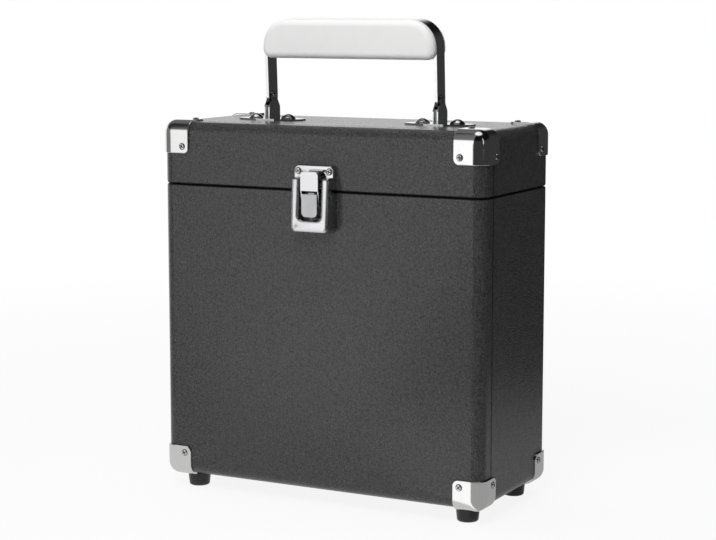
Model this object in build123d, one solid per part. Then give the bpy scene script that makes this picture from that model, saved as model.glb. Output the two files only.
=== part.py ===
"""Record carrying case: a covered board box with a hinged lid, metal corners, a draw latch
and a folding carrying handle.

Millimetres, +Z up, +X to the right, the front faces -Y. The floor is z = 0. The origin is the
middle of the whole object seen from above, at the floor.
"""
from build123d import *
from math import atan, degrees
import os

# --- case ---
case_width = 350.0
case_depth = 157.0
case_height = 356.5
lid_height = 61.5
edge_radius = 11.0
ground_clearance = 15.2
board_thickness = 6.0
covering_thickness = 0.8
lining_thickness = 0.5
lining_setback = 1.0
rim_gap = 0.4
rim_round = 2.0
seam_setback = 21.3
seam_gap = 0.3

# --- metal corners, their screws and the feet ---
lid_corner_span = 31.0
body_corner_span = 29.5
corner_thickness = 1.9
corner_tip_radius = 6.0
corner_edge_round = 0.8
corner_screw_margin = 7.0
seat_gap = 0.05
small_head_radius = 3.0
small_head_height = 1.2
small_shank_radius = 1.3
small_screw_length = 5.5
foot_inset_x = 24.3
foot_inset_y = 23.2
foot_top_radius = 11.6
foot_bottom_radius = 10.2
foot_edge_round = 2.0
foot_bore_radius = 4.6
foot_bore_depth = 9.0
foot_head_radius = 4.0
foot_head_height = 2.4
foot_shank_radius = 1.8
foot_screw_end = 1.0

# --- carrying handle ---
handle_width = 190.0
handle_rise = 101.7
handle_forward = 1.5
handle_lean = 3.0
bar_width = 18.0
bar_thickness = 3.0
bar_bend_radius = 27.0
grip_height = 38.5
grip_depth = 33.0
grip_end_radius = 9.0
grip_edge_round = 6.5
grip_inset = 0.3
pivot_rise = 23.5
pivot_radius = 2.5
pivot_head_radius = 3.9
pivot_head_height = 1.4
running_fit = 0.05
side_clearance = 0.3

# --- handle brackets ---
cheek_thickness = 1.2
cheek_base_width = 21.5
cheek_shoulder_rise = 11.0
cheek_top_radius = 5.6
base_length = 71.0
base_width = 30.0
base_end_width = 14.0
base_corner_radius = 3.5
base_thickness = 1.5
dome_spacing = 37.4
dome_radius = 7.6
dome_height = 4.6
dome_recess_arm = 2.6
dome_recess_width = 1.1
dome_recess_depth = 2.0
bolt_radius = 2.5
nut_across_flats = 8.0
nut_height = 4.0
washer_radius = 7.0
washer_thickness = 1.0
bolt_end = 1.5

# --- latch ---
latch_reach = 15.0
sheet = 1.0
frame_width = 44.0
frame_below_split = 40.5
frame_above_split = 14.5
frame_bottom_reach = 16.5
frame_top_reach = 12.9
frame_draft = 2.3
frame_corner_radius = 7.0
frame_top_radius = 4.0
frame_edge_round = 1.8
recess_width = 24.4
recess_below_split = 27.3
recess_corner_radius = 5.0
frame_clearance = 0.6
strike_width = 44.0
strike_height = 23.3
strike_depth = 5.6
strike_lift = 2.0
strike_draft = 0.5
strike_corner_radius = 6.0
strike_edge_round = 1.0
strike_screw_spacing = 33.8
strike_screw_drop = 6.0
hook_width = 15.0
hook_reach = 11.0
hook_root_drop = 8.0
hook_slope = 0.05
hook_overlap = 2.5
hook_gap = 0.3
catch_width = 19.0
catch_height = 18.0
catch_lift = 1.0
catch_corner_radius = 3.5
catch_arm_thickness = 0.8
lever_width = 16.8
lever_height = 22.0
lever_drop = 2.0
lever_corner_radius = 4.5
curl_radius = 1.3
curl_start = -1.0
curl_end = 5.6
ear_gap = 0.2
link_radius = 1.2
lever_pivot_reach = 11.0
lever_pivot_drop = 5.0
link_reach = 10.0
link_drop = 12.0
eye_radius = 2.4
rivet_radius = 1.6
rivet_shank_radius = 0.8
rivet_height = 0.7
rivet_spacing_x = 18.6
rivet_spacing_z = 15.0
rivet_drop = 23.5

# --- back hinges ---
hinge_spacing = 200.0
hinge_width = 38.0
hinge_leaf_height = 22.0
hinge_leaf_thickness = 1.2
barrel_radius = 3.0
barrel_stand_off = 0.2
hinge_pin_radius = 1.5
knuckle_gap = 0.2
hinge_screw_spacing = 24.0
hinge_screw_rise = 13.0
hinge_corner_radius = 3.0

# --- places that follow from the sizes ---
hinge_reach = barrel_stand_off + 2 * barrel_radius
case_y = (frame_bottom_reach - hinge_reach) / 2
front_y = case_y - case_depth / 2
back_y = case_y + case_depth / 2
case_bottom = ground_clearance
case_top = case_bottom + case_height
case_mid_z = (case_bottom + case_top) / 2
split_z = case_top - lid_height
body_rim = split_z - rim_gap / 2
lid_rim = split_z + rim_gap / 2
wall = covering_thickness + board_thickness
handle_y = case_y - handle_forward
pivot_z = case_top + pivot_rise
handle_top = case_top + handle_rise
leg_x = (handle_width - bar_thickness) / 2
hinge_axis_y = back_y + barrel_stand_off + barrel_radius
BIG = 2 * (case_width + case_depth + case_height)  # longer than the whole case, for cutters


# --- plain helpers ---
def block(x0, x1, y0, y1, z0, z1):
    """A box between two corners."""
    centre = Location(((x0 + x1) / 2, (y0 + y1) / 2, (z0 + z1) / 2))
    return centre * Box(x1 - x0, y1 - y0, z1 - z0)


def along_x(face_yz, x0, x1):
    """A profile drawn as (y, z), made into a solid from x0 to x1."""
    plane = Plane(origin=(x0, 0, 0), x_dir=(0, 1, 0), z_dir=(1, 0, 0))
    return extrude(plane * face_yz, amount=x1 - x0, dir=(1, 0, 0))


def on_front(face_xz, y, depth, taper=0):
    """A profile drawn as (x, z), made into a solid from y towards the front."""
    plane = Plane(origin=(0, y, 0), x_dir=(1, 0, 0), z_dir=(0, -1, 0))
    return extrude(plane * face_xz, amount=depth, dir=(0, -1, 0), taper=taper)


def rod_x(x0, x1, y, z, radius):
    """A round rod along X."""
    return along_x(Pos(y, z) * Circle(radius), x0, x1)


def reach(distance):
    """The y of a point that lies this far in front of the case's front."""
    return front_y - distance


def both_sides(shape):
    """The shape and its mirror image across the middle of the width."""
    return shape + mirror(shape, about=Plane.YZ)


def as_group(shapes):
    """Separate solids kept in one node."""
    return Compound(children=[solid for shape in shapes for solid in shape.solids()])


def without(shape, cutters):
    """The shape less each of the cutters."""
    for cutter in cutters:
        shape = shape - cutter
    return shape


# --- fasteners: each stands on z = 0 with its head upwards ---
def domed_screw(head_radius, head_height, shank_radius, length):
    """A round-headed screw: a slice of a ball on a plain shank."""
    ball_radius = (head_radius**2 + head_height**2) / (2 * head_height)
    head = above(Pos(0, 0, head_height - ball_radius) * Sphere(ball_radius), 0)
    shank = Pos(0, 0, -length / 2) * Cylinder(shank_radius, length)
    return head + shank


def small_screw():
    """A screw of the corners and the hinges."""
    return domed_screw(small_head_radius, small_head_height, small_shank_radius, small_screw_length)


def bracket_screw():
    """A large domed machine screw with a cross recess."""
    length = base_thickness + wall + lining_thickness + washer_thickness + nut_height + bolt_end
    screw = domed_screw(dome_radius, dome_height, bolt_radius, length)
    arm = Pos(0, 0, dome_height) * Box(2 * dome_recess_arm, dome_recess_width, 2 * dome_recess_depth)
    return screw - arm - Rot(0, 0, 90) * arm


def facing(point, normal):
    """The place of a fastener whose head points along the normal."""
    return Plane(origin=point, z_dir=normal)


# --- the covered box ---
def rounded_case(grow):
    """The case's outline, larger all round by grow, with every edge rounded."""
    outline = block(-case_width / 2 - grow, case_width / 2 + grow, front_y - grow, back_y + grow,
                    case_bottom - grow, case_top + grow)
    return fillet(outline.edges(), edge_radius + grow)


def below(shape, z):
    """What lies under this height."""
    return shape & block(-BIG, BIG, -BIG, BIG, -BIG, z)


def above(shape, z):
    """What lies over this height."""
    return shape & block(-BIG, BIG, -BIG, BIG, z, BIG)


def inside_walls(depth, z0, z1):
    """The room inside the four walls, at this depth from the outside."""
    return block(-case_width / 2 + depth, case_width / 2 - depth, front_y + depth, back_y - depth, z0, z1)


def rounded_rim(half, rim):
    """The outer edge of a half's rim, softened as the covering turns over the board."""
    return fillet(half.faces().sort_by(Axis.Z)[rim].edges(), rim_round)


def covering_sheets(half, boards, room):
    """The covering as two glued sheets that meet at a seam on each side."""
    skin = half - boards - room
    seam_y = front_y + seam_setback
    front = skin & block(-BIG, BIG, -BIG, seam_y - seam_gap / 2, -BIG, BIG)
    back = skin & block(-BIG, BIG, seam_y + seam_gap / 2, BIG, -BIG, BIG)
    return front, back


def board_panels(shell, floor_low, floor_high):
    """The board shell sawn into a flat panel, front, back, left and right."""
    flat = block(-BIG, BIG, front_y + wall, back_y - wall, floor_low, floor_high)
    front_slab = block(-BIG, BIG, -BIG, front_y + wall, -BIG, BIG)
    back_slab = block(-BIG, BIG, back_y - wall, BIG, -BIG, BIG)
    middle = shell - flat - front_slab - back_slab
    left, right = middle.solids().sort_by(Axis.X)
    return shell & flat, shell & front_slab, shell & back_slab, left, right


def make_body_box():
    """The body's five boards, its two covering sheets and its lining."""
    room = inside_walls(wall, case_bottom + wall, BIG)
    half = rounded_rim(below(rounded_case(0), body_rim), -1)
    boards = below(rounded_case(-covering_thickness), body_rim - covering_thickness)
    front_sheet, back_sheet = covering_sheets(half, boards, room)
    lining_top = body_rim - lining_setback
    lining = (inside_walls(wall, case_bottom + wall, lining_top)
              - inside_walls(wall + lining_thickness, case_bottom + wall + lining_thickness, BIG))
    names = ("bottom_panel", "front_panel", "back_panel", "left_panel", "right_panel")
    pieces = dict(zip(names, board_panels(boards - room, -BIG, case_bottom + wall)))
    pieces["body_front_covering"] = front_sheet
    pieces["body_back_covering"] = back_sheet
    pieces["body_lining"] = lining
    return pieces


def make_lid_box():
    """The lid's five boards, its two covering sheets and its lining."""
    room = inside_walls(wall, -BIG, case_top - wall)
    half = rounded_rim(above(rounded_case(0), lid_rim), 0)
    boards = above(rounded_case(-covering_thickness), lid_rim + covering_thickness)
    front_sheet, back_sheet = covering_sheets(half, boards, room)
    lining_bottom = lid_rim + lining_setback
    lining = (inside_walls(wall, lining_bottom, case_top - wall)
              - inside_walls(wall + lining_thickness, -BIG, case_top - wall - lining_thickness))
    names = ("lid_top_panel", "lid_front_panel", "lid_back_panel", "lid_left_panel", "lid_right_panel")
    pieces = dict(zip(names, board_panels(boards - room, case_top - wall, BIG)))
    pieces["lid_front_covering"] = front_sheet
    pieces["lid_back_covering"] = back_sheet
    pieces["lid_lining"] = lining
    return pieces


# --- metal corners ---
def corner_blank(span):
    """The room of the three flanges at the right front top corner, with rounded tips."""
    x, y, z = case_width / 2, front_y, case_top
    over = 2 * corner_thickness
    deep = edge_radius
    front = block(x - span, x + over, y - over, y + deep, z - span, z + over)
    side = block(x - deep, x + over, y - over, y + span, z - span, z + over)
    top = block(x - span, x + over, y - over, y + span, z - deep, z + over)
    front_tip = front.edges().filter_by(Axis.Y).group_by(Axis.X)[0].sort_by(Axis.Z)[0]
    side_tip = side.edges().filter_by(Axis.X).group_by(Axis.Y)[-1].sort_by(Axis.Z)[0]
    top_tip = top.edges().filter_by(Axis.Z).group_by(Axis.X)[0].sort_by(Axis.Y)[-1]
    return (fillet(front_tip, corner_tip_radius) + fillet(side_tip, corner_tip_radius)
            + fillet(top_tip, corner_tip_radius))


def top_corner(span):
    """The stamped corner at the right, front and top: three flanges round a ball corner."""
    outside = rounded_case(corner_thickness)
    corner = (outside - rounded_case(seat_gap)) & corner_blank(span)
    just_inside = rounded_case(corner_thickness - seat_gap)
    just_outside = rounded_case(2 * seat_gap)
    cut_faces = [face for face in corner.faces() if just_inside.is_inside(face.center())
                 and not just_outside.is_inside(face.center())]
    rims = [edge for face in cut_faces for edge in face.edges()
            if not just_inside.is_inside(edge.position_at(0.5))]
    return fillet(rims, corner_edge_round)


def screws_of_corner(span, with_flat):
    """The small screws of the right front top corner; the flat flange has one on the lid only."""
    x, y, z = case_width / 2, front_y, case_top
    inset = span - corner_screw_margin
    places = [facing((x - inset, y - corner_thickness, z - inset), (0, -1, 0)),
              facing((x + corner_thickness, y + inset, z - inset), (1, 0, 0))]
    if with_flat:
        places.append(facing((x - inset, y + inset, z + corner_thickness), (0, 0, 1)))
    return [place * small_screw() for place in places]


def to_every_corner(shape):
    """Copies of a right front shape at the four corners, by name."""
    side_plane = Plane.YZ
    depth_plane = Plane.XZ.offset(-case_y)
    left = mirror(shape, about=side_plane)
    return {"front_right": shape, "front_left": left,
            "back_right": mirror(shape, about=depth_plane), "back_left": mirror(left, about=depth_plane)}


def flipped(shape):
    """The same shape at the bottom of the case."""
    return mirror(shape, about=Plane.XY.offset(case_mid_z))


# --- feet ---
def foot_place():
    """The middle of the right front foot, and the height of its top."""
    x = case_width / 2 - foot_inset_x
    y = front_y + foot_inset_y
    return x, y, case_bottom - corner_thickness


def make_foot():
    """A tapered rubber foot with a bore for its screw, at the right front."""
    x, y, top = foot_place()
    with BuildPart() as foot:
        with BuildSketch(Plane.XZ):
            Polygon((0, 0), (foot_bottom_radius, 0), (foot_top_radius, top), (0, top), align=None)
        revolve(axis=Axis.Z)
        fillet(foot.edges().group_by(Axis.Z)[0], foot_edge_round)
    bore = Pos(0, 0, foot_bore_depth / 2) * Cylinder(foot_bore_radius, foot_bore_depth)
    hole = Pos(0, 0, top / 2) * Cylinder(foot_shank_radius, top)
    return Pos(x, y, 0) * (foot.part - bore - hole)


def make_foot_screw():
    """The screw of the right front foot, its head up inside the bore."""
    x, y, top = foot_place()
    length = top - foot_bore_depth + corner_thickness + wall - foot_screw_end
    screw = domed_screw(foot_head_radius, foot_head_height, foot_shank_radius, length)
    return facing((x, y, foot_bore_depth), (0, 0, -1)) * screw


# --- carrying handle ---
def leaned(shape):
    """The shape turned a little to the front about the handle's pivots."""
    return shape.rotate(Axis((0, handle_y, pivot_z), (1, 0, 0)), handle_lean)


def make_bar():
    """The flat strap bent to a U, with round lower ends at its pivots."""
    height = handle_top - pivot_z + bar_width
    outer = Pos(0, handle_top - height / 2) * Rectangle(handle_width, height)
    outer = fillet(outer.vertices().group_by(Axis.Y)[-1], bar_bend_radius)
    inner_height = height - bar_thickness
    inner = Pos(0, handle_top - bar_thickness - inner_height / 2) * Rectangle(
        handle_width - 2 * bar_thickness, inner_height)
    inner = fillet(inner.vertices().group_by(Axis.Y)[-1], bar_bend_radius - bar_thickness)
    strap = on_front(outer - inner, handle_y + bar_width / 2, bar_width)
    side_view = Pos(handle_y, pivot_z) * Circle(bar_width / 2)
    side_view += Pos(handle_y, (pivot_z + handle_top) / 2) * Rectangle(bar_width, handle_top - pivot_z)
    bar = strap & along_x(side_view, -handle_width, handle_width)
    return bar - rod_x(-handle_width, handle_width, handle_y, pivot_z, pivot_radius + running_fit)


def make_grip(bar):
    """The moulded grip, let in round the top of the bar and flush with its outside."""
    width = handle_width - 2 * grip_inset
    top = handle_top - grip_inset
    outline = Pos(0, top - grip_height / 2) * Rectangle(width, grip_height)
    outline = fillet(outline.vertices().group_by(Axis.Y)[-1], bar_bend_radius - grip_inset)
    outline = fillet(outline.vertices().group_by(Axis.Y)[0], grip_end_radius)
    grip = on_front(outline, handle_y + grip_depth / 2, grip_depth)
    rims = grip.faces().filter_by(Axis.Y).edges()
    grip = fillet(rims, grip_edge_round)
    return grip - bar


def cheek_profile():
    """One bracket cheek as (y, z): a wide foot, a shoulder and a round eye."""
    half = cheek_base_width / 2
    shoulder = case_top + cheek_shoulder_rise
    eye_z = pivot_z
    with BuildSketch() as profile:
        with BuildLine():
            Line((-half, case_top), (half, case_top))
            Line((half, case_top), (half, shoulder))
            Spline((half, shoulder), (cheek_top_radius, eye_z), tangents=((0, 1), (0, 1)))
            ThreePointArc((cheek_top_radius, eye_z), (0, eye_z + cheek_top_radius),
                          (-cheek_top_radius, eye_z))
            Spline((-cheek_top_radius, eye_z), (-half, shoulder), tangents=((0, -1), (0, -1)))
            Line((-half, shoulder), (-half, case_top))
        make_face()
    return Pos(handle_y, 0) * profile.sketch


def make_bracket():
    """The right bracket: a tapered base with two cheeks that hold the bar's end."""
    inner = bar_thickness / 2 + side_clearance
    cheek = along_x(cheek_profile(), leg_x + inner, leg_x + inner + cheek_thickness)
    other = along_x(cheek_profile(), leg_x - inner - cheek_thickness, leg_x - inner)
    half, end = base_length / 2, base_end_width / 2
    plate = Polygon((-half, -end), (-cheek_base_width / 2, -base_width / 2),
                    (cheek_base_width / 2, -base_width / 2), (half, -end), (half, end),
                    (cheek_base_width / 2, base_width / 2), (-cheek_base_width / 2, base_width / 2),
                    (-half, end), align=None)
    plate = fillet(plate.vertices(), base_corner_radius)
    base = Pos(leg_x, handle_y, case_top) * extrude(plate, amount=base_thickness)
    pin_hole = rod_x(leg_x - base_width, leg_x + base_width, handle_y, pivot_z, pivot_radius)
    return base + cheek + other - pin_hole


def make_pivot_rivet():
    """The right pivot: a pin through both cheeks with a domed head at each end."""
    half = bar_thickness / 2 + side_clearance + cheek_thickness
    pin = rod_x(leg_x - half, leg_x + half, handle_y, pivot_z, pivot_radius)
    head = domed_screw(pivot_head_radius, pivot_head_height, pivot_radius, half / 2)
    outer = facing((leg_x + half, handle_y, pivot_z), (1, 0, 0)) * head
    inner = facing((leg_x - half, handle_y, pivot_z), (-1, 0, 0)) * head
    return pin + outer + inner


def dome_places():
    """The middles of the four machine screws that hold the brackets."""
    places = []
    for side in (-1, 1):
        for step in (-dome_spacing / 2, dome_spacing / 2):
            places.append((side * leg_x + step, handle_y))
    return places


def make_bracket_screws():
    return [Pos(x, y, case_top + base_thickness) * bracket_screw() for x, y in dome_places()]


def make_bracket_nuts(screws):
    """A washer and a hexagon nut in one, under the lid's lining, on each machine screw."""
    under = case_top - wall - lining_thickness
    nuts = []
    for x, y in dome_places():
        washer = Pos(x, y, under - washer_thickness / 2) * Cylinder(washer_radius, washer_thickness)
        hexagon = RegularPolygon(nut_across_flats / 2, 6, major_radius=False)
        nut = Pos(x, y, under - washer_thickness - nut_height) * extrude(hexagon, amount=nut_height)
        nuts.append(without(washer + nut, screws))
    return nuts


# --- latch ---
def plate_outline(width, z0, z1, bottom_radius, top_radius):
    """An upright plate as (x, z), with its own radius at the bottom and top corners."""
    outline = Pos(0, (z0 + z1) / 2) * Rectangle(width, z1 - z0)
    if bottom_radius:
        outline = fillet(outline.vertices().group_by(Axis.Y)[0], bottom_radius)
    if top_radius:
        outline = fillet(outline.vertices().group_by(Axis.Y)[-1], top_radius)
    return outline


def eye_at(distance, z, radius):
    """A circle as (y, z) at a distance in front of the case."""
    return Pos(reach(distance), z) * Circle(radius)


def pad_at(near, far, z0, z1):
    """A rectangle as (y, z) between two distances in front of the case."""
    return Pos(reach((near + far) / 2), (z0 + z1) / 2) * Rectangle(abs(far - near), z1 - z0)


def web(*shapes):
    """The smallest plate that holds all the given outlines."""
    edges = [edge for shape in shapes for edge in shape.edges()]
    return make_hull(edges)


lever_pivot_z = split_z - lever_pivot_drop
link_z = split_z - link_drop
catch_bottom = split_z + catch_lift
catch_top = catch_bottom + catch_height
lever_top = split_z - lever_drop
lever_bottom = lever_top - lever_height
plate_back = latch_reach - sheet
lever_cheek = lever_width / 2 - sheet
catch_cheek = catch_width / 2 - catch_arm_thickness
hook_top = catch_top - sheet - hook_gap


def frame_blank(inset):
    """The frame's solid outline, smaller all round by inset, its front sloped outwards downwards."""
    low, high = split_z - frame_below_split + inset, split_z + frame_above_split - inset
    outline = plate_outline(frame_width - 2 * inset, low, high, frame_corner_radius - inset,
                            frame_top_radius - inset)
    draft = degrees(atan(frame_draft / frame_bottom_reach))
    drafted = on_front(outline, front_y, frame_bottom_reach, draft)
    side_view = Polygon((reach(0), low - inset), (reach(frame_bottom_reach - inset), low - inset),
                        (reach(frame_top_reach - inset), high + inset), (reach(0), high + inset),
                        align=None)
    return drafted & along_x(side_view, -frame_width, frame_width)


def make_latch_frame():
    """The stamped frame on the body: a raised U round a recess, with two ears inside it."""
    high = split_z + frame_above_split
    recess_bottom = split_z - recess_below_split
    outer = frame_blank(0)
    rim = on_front(plate_outline(recess_width + 2 * sheet, recess_bottom - sheet, high - frame_draft,
                                 recess_corner_radius + sheet, 0), front_y, frame_bottom_reach)
    recess = on_front(plate_outline(recess_width, recess_bottom, high + frame_draft,
                                    recess_corner_radius, 0), front_y, 2 * frame_bottom_reach)
    floor = on_front(plate_outline(recess_width + 2 * sheet, recess_bottom - sheet, body_rim - rim_round,
                                   recess_corner_radius + sheet, 0), front_y, sheet)
    lid_room = block(-BIG, BIG, reach(strike_depth + frame_clearance), BIG, body_rim, BIG)
    front_face = (outer - recess).faces().sort_by(Axis.Y)[0]
    rounded = fillet(front_face.edges(), frame_edge_round)
    ring = (rounded - (frame_blank(sheet) - rim)) - lid_room
    ear = along_x(web(eye_at(lever_pivot_reach, lever_pivot_z, eye_radius),
                      pad_at(0, sheet, lever_pivot_z - 2 * eye_radius, lever_pivot_z + eye_radius / 2)),
                  lever_cheek - ear_gap - sheet, lever_cheek - ear_gap)
    pin = rod_x(-BIG, BIG, reach(lever_pivot_reach), lever_pivot_z, link_radius)
    return ring + floor + both_sides(ear) - pin


def make_lever():
    """The thumb lever: a rounded front plate with two cheeks that carry both pins."""
    front = on_front(plate_outline(lever_width, lever_bottom, lever_top, lever_corner_radius, 0),
                     reach(plate_back), sheet)
    cheek = along_x(web(eye_at(lever_pivot_reach, lever_pivot_z, eye_radius),
                        eye_at(link_reach, link_z, eye_radius),
                        pad_at(plate_back, plate_back + sheet / 2, link_z - 3 * eye_radius,
                               lever_top)), lever_cheek, lever_cheek + sheet)
    curl = rod_x(curl_start, curl_end, reach(plate_back - curl_radius / 2), lever_top + curl_radius / 2,
                 curl_radius)
    lever = front + both_sides(cheek) + curl
    pivot = rod_x(-BIG, BIG, reach(lever_pivot_reach), lever_pivot_z, link_radius + running_fit)
    link = rod_x(-BIG, BIG, reach(link_reach), link_z, link_radius)
    return lever - pivot - link


def make_catch():
    """The draw plate: its folded top hooks over the strike, its arms hang on the lever."""
    front = on_front(plate_outline(catch_width, catch_bottom, catch_top, 0, catch_corner_radius),
                     reach(plate_back), sheet)
    tip = hook_reach - hook_overlap
    flange_face = Polygon((reach(plate_back), catch_top), (reach(tip), catch_top),
                          (reach(tip), catch_top - sheet - hook_slope * hook_overlap),
                          (reach(plate_back), catch_top - sheet + hook_slope * (plate_back - hook_reach)),
                          align=None)
    flange = along_x(flange_face, -hook_width / 2, hook_width / 2)
    arm = along_x(web(eye_at(link_reach, link_z, eye_radius),
                      pad_at(hook_reach + hook_gap, plate_back + sheet / 2, catch_bottom,
                             catch_top - catch_corner_radius)),
                  catch_cheek, catch_cheek + catch_arm_thickness)
    link = rod_x(-BIG, BIG, reach(link_reach), link_z, link_radius + running_fit)
    return front + flange + both_sides(arm) - link


def make_strike():
    """The strike on the lid: a raised pressing with a hooked nose, its top sloped to hold."""
    low = split_z + strike_lift
    high = low + strike_height
    draft = degrees(atan(strike_draft / strike_depth))
    outer = on_front(plate_outline(strike_width, low, high, 0, strike_corner_radius),
                     front_y, strike_depth, draft)
    outer = fillet(outer.faces().sort_by(Axis.Y)[0].edges(), strike_edge_round)
    hollow = on_front(plate_outline(strike_width - 2 * sheet, low + sheet, high - sheet, 0,
                                    strike_corner_radius - sheet), front_y, strike_depth - sheet, draft)
    nose_root = strike_depth - sheet / 2
    nose_face = Polygon((reach(nose_root), hook_top - hook_slope * (hook_reach - nose_root)),
                        (reach(hook_reach), hook_top), (reach(hook_reach), hook_top - sheet),
                        (reach(nose_root), hook_top - hook_root_drop), align=None)
    return (outer - hollow) + along_x(nose_face, -hook_width / 2, hook_width / 2)


def make_strike_screws():
    """The two screws of the strike, seated on its raised face."""
    z = split_z + strike_lift + strike_height - strike_screw_drop
    screw = domed_screw(small_head_radius, small_head_height, small_shank_radius,
                        small_screw_length + strike_depth)
    return [facing((side * strike_screw_spacing / 2, reach(strike_depth), z), (0, -1, 0)) * screw
            for side in (-1, 1)]


def make_frame_rivets():
    """Four rivets in the floor of the recess."""
    rivets = []
    for x in (-rivet_spacing_x / 2, rivet_spacing_x / 2):
        for z in (split_z - rivet_drop, split_z - rivet_drop + rivet_spacing_z):
            rivet = domed_screw(rivet_radius, rivet_height, rivet_shank_radius, sheet + wall)
            rivets.append(facing((x, reach(sheet), z), (0, -1, 0)) * rivet)
    return rivets


# --- back hinges ---
def hinge_leaf(x, up):
    """A leaf with its knuckles: the lid's leaf has the middle one, the body's the outer two."""
    third = hinge_width / 3
    z0, z1 = (split_z + rim_gap / 2, split_z + hinge_leaf_height) if up else (
        split_z - hinge_leaf_height, split_z - rim_gap / 2)
    leaf = block(x - hinge_width / 2, x + hinge_width / 2, back_y, back_y + hinge_leaf_thickness, z0, z1)
    far_edges = leaf.edges().filter_by(Axis.Y).group_by(Axis.Z)[-1 if up else 0]
    leaf = fillet(far_edges, hinge_corner_radius)
    middle = (x - third / 2, x + third / 2)
    left = (x - hinge_width / 2, x - third / 2)
    right = (x + third / 2, x + hinge_width / 2)
    own = [middle] if up else [left, right]
    others = [left, right] if up else [middle]
    for x0, x1 in others:
        leaf = leaf - rod_x(x0 - knuckle_gap, x1 + knuckle_gap, hinge_axis_y, split_z,
                            barrel_radius + side_clearance)
    for x0, x1 in own:
        knuckle = rod_x(x0 + knuckle_gap, x1 - knuckle_gap, hinge_axis_y, split_z, barrel_radius)
        leaf = leaf + (knuckle & block(-BIG, BIG, back_y, BIG, -BIG, BIG))
    bore = hinge_pin_radius + (running_fit if up else 0)
    return leaf - rod_x(x - BIG, x + BIG, hinge_axis_y, split_z, bore)


def hinge_screws(up):
    """The screws of both upper or both lower leaves."""
    turn = 1 if up else -1
    screws = []
    for x in (-hinge_spacing / 2, hinge_spacing / 2):
        for step in (-hinge_screw_spacing / 2, hinge_screw_spacing / 2):
            place = (x + step, back_y + hinge_leaf_thickness, split_z + turn * hinge_screw_rise)
            screws.append(facing(place, (0, 1, 0)) * small_screw())
    return screws


def hinge_pin(x):
    """The pin of one hinge."""
    half = hinge_width / 2 - knuckle_gap
    return rod_x(x - half, x + half, hinge_axis_y, split_z, hinge_pin_radius)


def cut_boards(pieces, screws):
    """Screw holes through the panels, coverings and linings of one half."""
    for name in pieces:
        near = [screw for screw in screws if touches(pieces[name], screw)]
        pieces[name] = without(pieces[name], near)


def touches(shape, other):
    """Whether the boxes round two shapes meet."""
    a, b = shape.bounding_box(), other.bounding_box()
    return all(tuple(a.min)[i] <= tuple(b.max)[i] and tuple(b.min)[i] <= tuple(a.max)[i]
               for i in range(3))


# --- assembly ---
def make_parts():
    """Every node of the case by name."""
    lid_corners = to_every_corner(top_corner(lid_corner_span))
    body_corners = to_every_corner(flipped(top_corner(body_corner_span)))
    lid_corner_screws = [copy for screw in screws_of_corner(lid_corner_span, True)
                         for copy in to_every_corner(screw).values()]
    body_corner_screws = [copy for screw in screws_of_corner(body_corner_span, False)
                          for copy in to_every_corner(flipped(screw)).values()]
    feet = to_every_corner(make_foot())
    foot_screws = list(to_every_corner(make_foot_screw()).values())

    strike, strike_screws = make_strike(), make_strike_screws()
    frame, rivets = make_latch_frame(), make_frame_rivets()
    bracket_screws = make_bracket_screws()
    bracket = make_bracket()
    lid_hinge_screws, body_hinge_screws = hinge_screws(True), hinge_screws(False)

    lid = make_lid_box()
    cut_boards(lid, lid_corner_screws + strike_screws + bracket_screws + lid_hinge_screws)
    body = make_body_box()
    cut_boards(body, body_corner_screws + foot_screws + rivets + body_hinge_screws)

    parts = {**body, **lid}
    for place, piece in lid_corners.items():
        parts["lid_corner_" + place] = without(piece, lid_corner_screws)
    for place, piece in body_corners.items():
        parts["body_corner_" + place] = without(piece, body_corner_screws + foot_screws)
    for place, piece in feet.items():
        parts["foot_" + place] = piece
    parts["lid_corner_screws"] = as_group(lid_corner_screws)
    parts["body_corner_screws"] = as_group(body_corner_screws)
    parts["foot_screws"] = as_group(foot_screws)

    bar = make_bar()
    parts["handle_bar"] = leaned(bar)
    parts["handle_grip"] = leaned(make_grip(bar))
    parts["handle_bracket_right"] = without(bracket, bracket_screws)
    parts["handle_bracket_left"] = without(mirror(bracket, about=Plane.YZ), bracket_screws)
    rivet = make_pivot_rivet()
    parts["handle_pivot_rivets"] = as_group([rivet, mirror(rivet, about=Plane.YZ)])
    parts["bracket_screws"] = as_group(bracket_screws)
    parts["bracket_nuts"] = as_group(make_bracket_nuts(bracket_screws))

    parts["latch_frame"] = without(frame, rivets)
    parts["latch_frame_rivets"] = as_group(rivets)
    parts["latch_strike"] = without(strike, strike_screws)
    parts["latch_strike_screws"] = as_group(strike_screws)
    parts["latch_lever"] = make_lever()
    parts["latch_lever_pin"] = rod_x(-lever_width / 2, lever_width / 2, reach(lever_pivot_reach),
                                     lever_pivot_z, link_radius)
    parts["latch_catch"] = make_catch()
    parts["latch_catch_pin"] = rod_x(-catch_width / 2, catch_width / 2, reach(link_reach), link_z,
                                     link_radius)

    for side, x in (("left", -hinge_spacing / 2), ("right", hinge_spacing / 2)):
        parts["hinge_lid_leaf_" + side] = without(hinge_leaf(x, True), lid_hinge_screws)
        parts["hinge_body_leaf_" + side] = without(hinge_leaf(x, False), body_hinge_screws)
    parts["hinge_pins"] = as_group([hinge_pin(-hinge_spacing / 2), hinge_pin(hinge_spacing / 2)])
    parts["hinge_lid_screws"] = as_group(lid_hinge_screws)
    parts["hinge_body_screws"] = as_group(body_hinge_screws)
    return parts


os.makedirs("parts", exist_ok=True)
for name, shape in make_parts().items():
    export_step(shape, "parts/" + name + ".step")
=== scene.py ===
"""Looks of the record carrying case: finishes, recessed screw heads, floor, light and camera."""
import math

import bmesh
import bpy
from bpy.props import FloatProperty, FloatVectorProperty, IntProperty, PointerProperty
from mathutils import Matrix, Vector


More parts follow.
